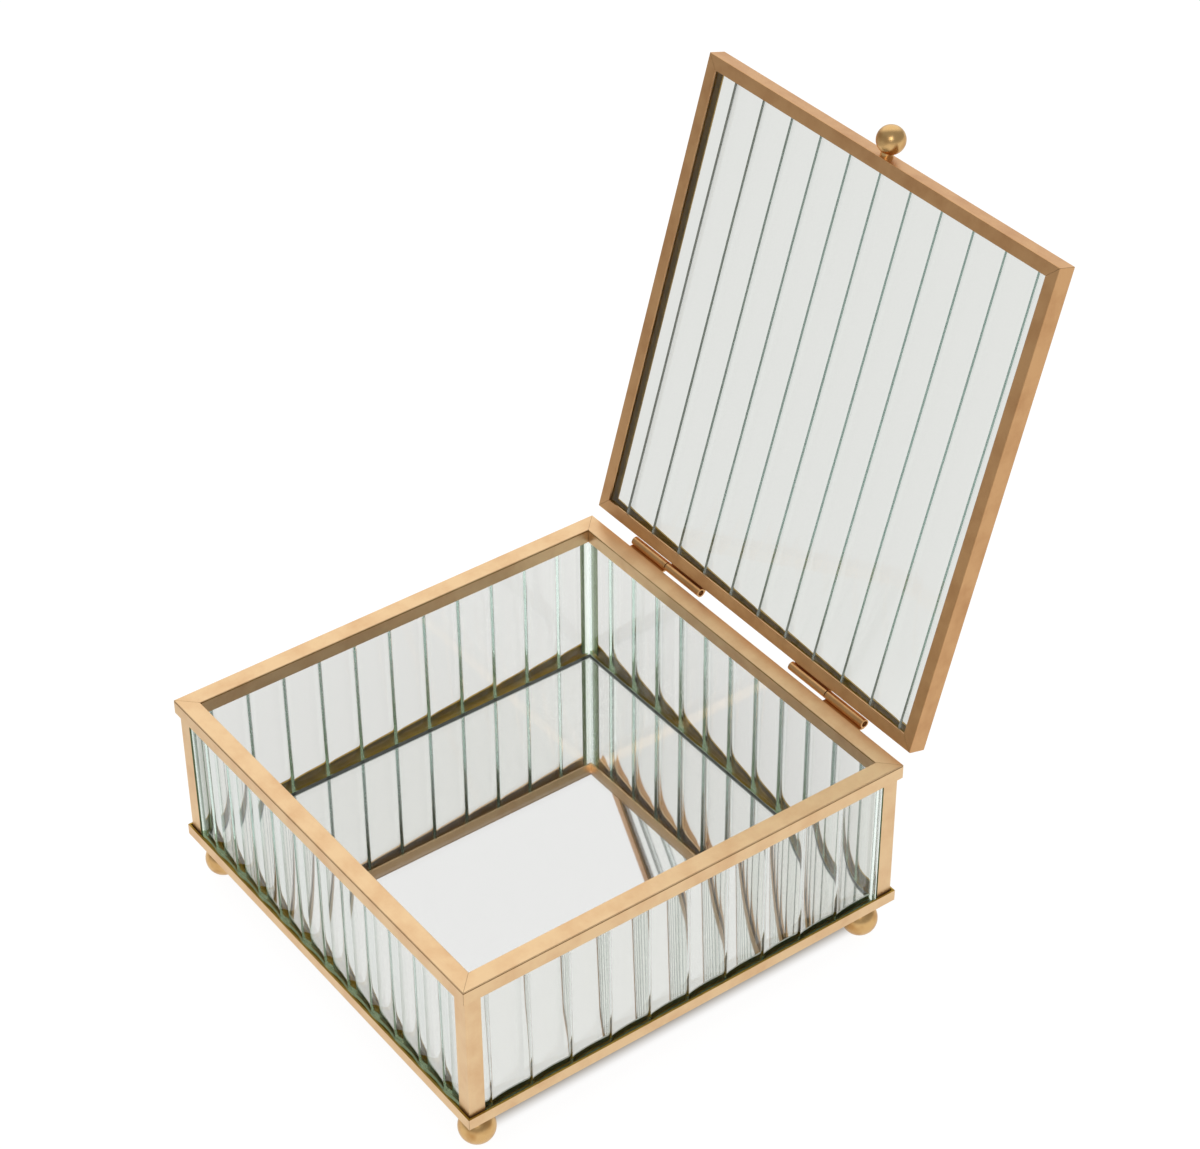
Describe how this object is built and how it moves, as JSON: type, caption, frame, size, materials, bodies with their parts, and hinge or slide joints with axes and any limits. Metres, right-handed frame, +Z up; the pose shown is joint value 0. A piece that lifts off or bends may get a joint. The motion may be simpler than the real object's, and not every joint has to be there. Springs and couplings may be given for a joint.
{
  "type": "glass casket box",
  "caption": "Small square keepsake box of reeded glass in folded brass rails, with a mirrored base, ball feet and a hinged glass lid.",
  "frame": {"origin": "under the middle of the bounding box of the box standing open, at the level of the flats of the feet", "axes": "+X to the right across the front, along the hinge pins; +Y from the front to the hinges; +Z up"},
  "size_m": [0.148, 0.202, 0.2206],
  "materials": {
    "satin_brass": "satin, lacquered",
    "polished_brass": "polished, lacquered",
    "reeded_glass": "clear, reeded on one face, green at the edges",
    "mirror": "silvered glass",
    "backing_paint": "matt grey mirror backing paint",
    "pin_steel": "drawn wire"
  },
  "bodies": {
    "box": {"rim_front": "satin_brass", "rim_back": "satin_brass", "rim_left": "satin_brass", "rim_right": "satin_brass", "base_rail_front": "satin_brass", "base_rail_back": "satin_brass", "base_rail_left": "satin_brass", "base_rail_right": "satin_brass", "post_front_left": "satin_brass", "post_front_right": "satin_brass", "post_back_left": "satin_brass", "post_back_right": "satin_brass", "glass_front": "reeded_glass", "glass_back": "reeded_glass", "glass_left": "reeded_glass", "glass_right": "reeded_glass", "base_mirror": "mirror", "mirror_backing": "backing_paint", "foot_front_left": "polished_brass", "foot_front_right": "polished_brass", "foot_back_left": "polished_brass", "foot_back_right": "polished_brass", "box_knuckle_left": "satin_brass", "box_knuckle_right": "satin_brass", "hinge_pin_left": "pin_steel", "hinge_pin_right": "pin_steel"},
    "lid": {"lid_rail_front": "satin_brass", "lid_rail_back": "satin_brass", "lid_rail_left": "satin_brass", "lid_rail_right": "satin_brass", "lid_glass": "reeded_glass", "lid_knuckle_left": "satin_brass", "lid_knuckle_right": "satin_brass", "lid_knob": "polished_brass"}
  },
  "joints": [
    {"name": "lid_hinge", "type": "hinge", "parent": "box", "child": "lid", "pos_m": [0, 0.05114, 0.0661], "axis": [1, 0, 0], "range_deg": [0, 106]}
  ]
}
